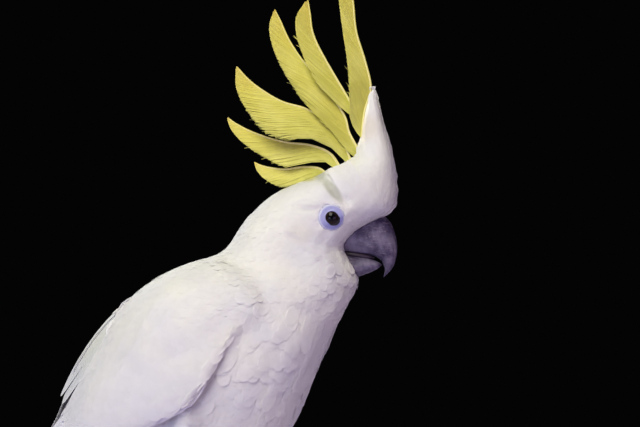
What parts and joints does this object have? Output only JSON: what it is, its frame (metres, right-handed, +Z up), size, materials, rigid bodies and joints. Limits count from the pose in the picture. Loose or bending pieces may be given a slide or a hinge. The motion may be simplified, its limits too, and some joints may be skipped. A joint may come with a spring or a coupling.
{
  "type": "white cockatoo figure",
  "caption": "White cockatoo with a raised yellow crest, standing on the floor with folded wings, as a life-size still display model.",
  "frame": {"origin": "on the floor, in the middle of the bird's outer box seen from above", "axes": "+X the way the bird looks, +Y to its left, +Z up from the floor it stands on"},
  "size_m": [0.3516, 0.118, 0.398],
  "materials": {
    "white_plumage": "soft matte white feathers",
    "yellow_crest": "soft matte lemon yellow feathers",
    "grey_bill": "dark grey horn with a slight sheen and a powdery bloom",
    "dark_eye": "wet gloss, near black",
    "grey_foot": "dry scaled skin",
    "dark_claw": "smooth dark horn"
  },
  "bodies": {
    "root": {"head": "white_plumage", "neck": "white_plumage", "trunk": "white_plumage", "tail": "white_plumage", "wing_right": "white_plumage", "wing_left": "white_plumage", "thigh_right": "white_plumage", "thigh_left": "white_plumage", "crest_1": "yellow_crest", "crest_2": "yellow_crest", "crest_3": "yellow_crest", "crest_4": "yellow_crest", "crest_5": "yellow_crest", "crest_6": "yellow_crest", "bill_upper": "grey_bill", "bill_lower": "grey_bill", "eye_right": "dark_eye", "eye_left": "dark_eye", "foot_right": "grey_foot", "foot_left": "grey_foot", "claw_right_outer_front": "dark_claw", "claw_right_inner_front": "dark_claw", "claw_right_outer_back": "dark_claw", "claw_right_inner_back": "dark_claw", "claw_left_outer_front": "dark_claw", "claw_left_inner_front": "dark_claw", "claw_left_outer_back": "dark_claw", "claw_left_inner_back": "dark_claw"}
  },
  "joints": []
}
